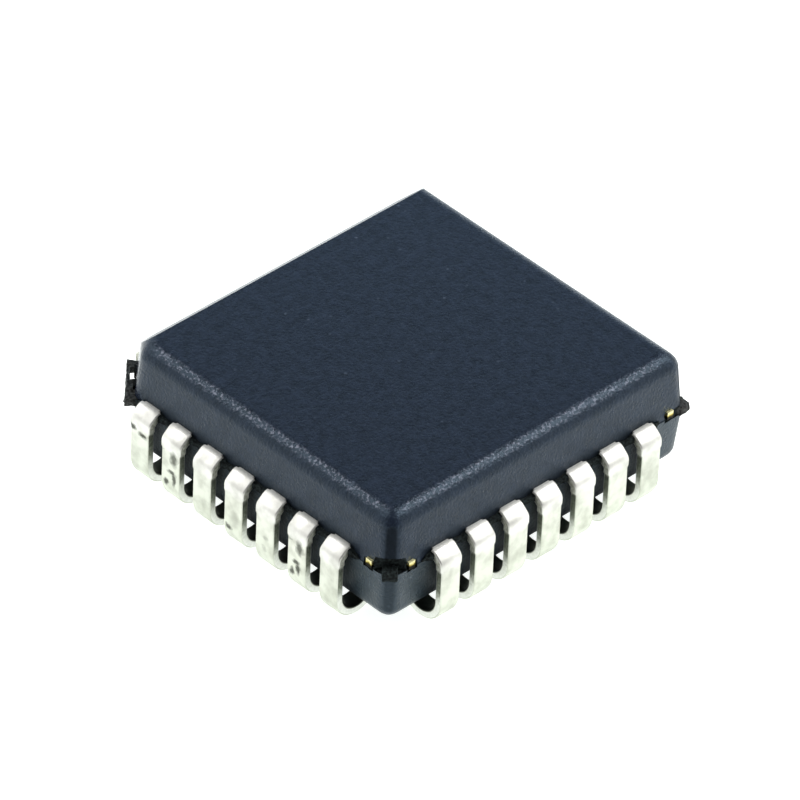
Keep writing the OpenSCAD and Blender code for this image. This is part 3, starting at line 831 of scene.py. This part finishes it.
# Between the necks of the leads the compound ran out to the dam bar and broke off when that was punched away.
# It is hollowed in the middle of each gap, and thins out past the last leads.
DAM_FLASH_ROOT = 0.06
DAM_FLASH_REACH = 0.16
DAM_FLASH_END = 0.42
DAM_FLASH_BELOW = 0.02
DAM_FLASH_SUNK = 0.05
DAM_FLASH_HOLLOW = 0.5
DAM_FLASH_THINNEST = 0.4
DAM_FLASH_CUTS = 11
DAM_FLASH_BREAK = {"grain": 0.15, "depth": 0.04}
DAM_FLASH_SEED = 41
SEEDS_PER_SIDE = 10
NECK_LAP = 0.01
row_end = HALF_ROW * PITCH
neck_edge = EXIT_W / 2 - NECK_LAP
gaps = [(-row_end - neck_edge - DAM_FLASH_END, -row_end - neck_edge)]
for i in range(LEADS_PER_SIDE - 1):
    y = i * PITCH - row_end
    gaps.append((y + neck_edge, y + PITCH - neck_edge))
gaps.append((row_end + neck_edge, row_end + neck_edge + DAM_FLASH_END))
dam_flash = bmesh.new()
for side in range(4):
    for i, (start, stop) in enumerate(gaps):
        web = block((WALL - DAM_FLASH_ROOT, start, PARTING - DAM_FLASH_BELOW),
                    (WALL + DAM_FLASH_REACH, stop, LEAD_TOP - DAM_FLASH_SUNK), DAM_FLASH_CUTS)
        for v in web.verts:
            share = (v.co.y / MM - start) / (stop - start)
            if i == 0:
                left = share
            elif i == LEADS_PER_SIDE:
                left = 1 - share
            else:
                left = 1 - DAM_FLASH_HOLLOW * math.sin(share * math.pi)
            thickness = DAM_FLASH_THINNEST + (1 - DAM_FLASH_THINNEST) * left
            v.co.x = WALL * MM + (v.co.x - WALL * MM) * left
            v.co.z = PARTING * MM + (v.co.z - PARTING * MM) * thickness
        roughen(web, **DAM_FLASH_BREAK, seed=DAM_FLASH_SEED + side * SEEDS_PER_SIDE + i)
        turn_about(web, side * math.pi / 2)
        join_in(dam_flash, web)
add_piece("dam_flash", dam_flash, [broken], TORN_SHARP)

# Stage: a pale floor lit from below, two soft lights overhead, a pale card behind and the camera at the photograph's
# angle. The angle, distance and offsets were fitted to the lead rows and the body's edges for a long lens.
FRAME_PX = 800
FOCAL_PX = 9200
SENSOR = 36
AZIMUTH = math.radians(45.072)
ELEVATION = math.radians(38.594)
ROLL = math.radians(-2.544)
DISTANCE = 254.14
ASIDE = Vector((-0.0705, -0.0586))
AIM = Vector((0, 0, 2.2))
sight = Vector((math.sin(AZIMUTH) * math.cos(ELEVATION), math.cos(AZIMUTH) * math.cos(ELEVATION),
                -math.sin(ELEVATION)))
level_right = sight.cross(Vector((0, 0, 1))).normalized()
level_down = sight.cross(level_right)
right = math.cos(ROLL) * level_right + math.sin(ROLL) * level_down
down = math.cos(ROLL) * level_down - math.sin(ROLL) * level_right
eye = AIM - ASIDE.x * right - ASIDE.y * down - DISTANCE * sight
lens = bpy.data.cameras.new("camera")
lens.sensor_width = SENSOR
lens.lens = FOCAL_PX / FRAME_PX * SENSOR
camera = bpy.data.objects.new("camera", lens)
axes = Matrix((right, -down, -sight)).transposed().to_4x4()
camera.matrix_world = Matrix.Translation(eye * MM) @ axes
bpy.context.scene.collection.objects.link(camera)
bpy.context.scene.camera = camera

# Opal acrylic: an even white sheet that glows, less so in front of the chip.
FLOOR_HALF = 400
GLOW_FRONT = (7, 12)
GLOW = (0.93, 0.49)
floor_mesh = bpy.data.meshes.new("floor")
sheet = bmesh.new()
bmesh.ops.create_grid(sheet, x_segments=1, y_segments=1, size=FLOOR_HALF * MM)
sheet.to_mesh(floor_mesh)
sheet.free()
opal, tree, shader, place = start_material("opal_acrylic", {
    "Roughness": 0.6, "Base Color": srgb("#cbcbc9"), "Emission Color": srgb("#fbfffd")})
forward = add_node(tree, "ShaderNodeVectorMath", {0: place, 1: (-1 / ROOT2, -1 / ROOT2, 0)}, operation="DOT_PRODUCT")
plug(tree, shader, {"Emission Strength": add_node(tree, "ShaderNodeMapRange", {
    "Value": forward, "From": mm(*GLOW_FRONT), "To": GLOW}, interpolation_type="SMOOTHSTEP")})
floor_mesh.materials.append(opal)
floor = bpy.data.objects.new("floor", floor_mesh)
bpy.context.scene.collection.objects.link(floor)

# The room is bright to the left and right, dim behind the chip, and dimmer still in front of it.
SKY_ASIDE = (0.15, 0.8)
SKY_LIGHT = (0.12, 1.35)
SKY_BEHIND = (-0.6, -0.1)
FRONT_SHARE = 0.35
world = bpy.data.worlds.new("studio")
world.use_nodes = True
tree = world.node_tree
look = add_node(tree, "ShaderNodeTexCoord").outputs["Generated"]
aside = add_node(tree, "ShaderNodeVectorMath", {0: look, 1: (-1 / ROOT2, 1 / ROOT2, 0)}, operation="DOT_PRODUCT")
either_side = add_node(tree, "ShaderNodeMath", {0: aside}, operation="ABSOLUTE")
sky = add_node(tree, "ShaderNodeMapRange", {"Value": either_side, "From": SKY_ASIDE, "To": SKY_LIGHT})
behind = add_node(tree, "ShaderNodeVectorMath", {0: look, 1: (1 / ROOT2, 1 / ROOT2, 0)}, operation="DOT_PRODUCT")
front = add_node(tree, "ShaderNodeMapRange", {"Value": behind, "From": SKY_BEHIND, "To": (FRONT_SHARE, 1)})
dome = add_node(tree, "ShaderNodeMath", {0: sky, 1: front}, operation="MULTIPLY")
plug(tree, tree.nodes["Background"], {"Color": srgb("#fcfdfb"), "Strength": dome})
bpy.context.scene.world = world
bpy.context.scene.view_settings.view_transform = "Standard"

# Each light has its direction, distance, width, length, radiance and colour.
LIGHTS = (
    ("left softbox", (-0.26, 0.55, 0.79), 200, 80, 80, 5.0, "#fdfdfb"),
    ("right softbox", (0.55, -0.26, 0.79), 200, 80, 80, 9.5, "#fdfdfb"),
    ("card behind", (17, 17, 10), 26, 60, 22, 0.5, "#c4e6ff"),
)
for name, direction, distance, width, length, radiance, code in LIGHTS:
    lamp = bpy.data.lights.new(name, "AREA")
    lamp.shape = "RECTANGLE"
    lamp.size = width * MM
    lamp.size_y = length * MM
    lamp.color = srgb(code)[:3]
    lamp.energy = radiance * math.pi * lamp.size * lamp.size_y
    softbox = bpy.data.objects.new(name, lamp)
    softbox.location = Vector(direction).normalized() * distance * MM
    softbox.rotation_euler = (-softbox.location).to_track_quat("-Z", "Y").to_euler()
    softbox.visible_camera = False
    bpy.context.scene.collection.objects.link(softbox)
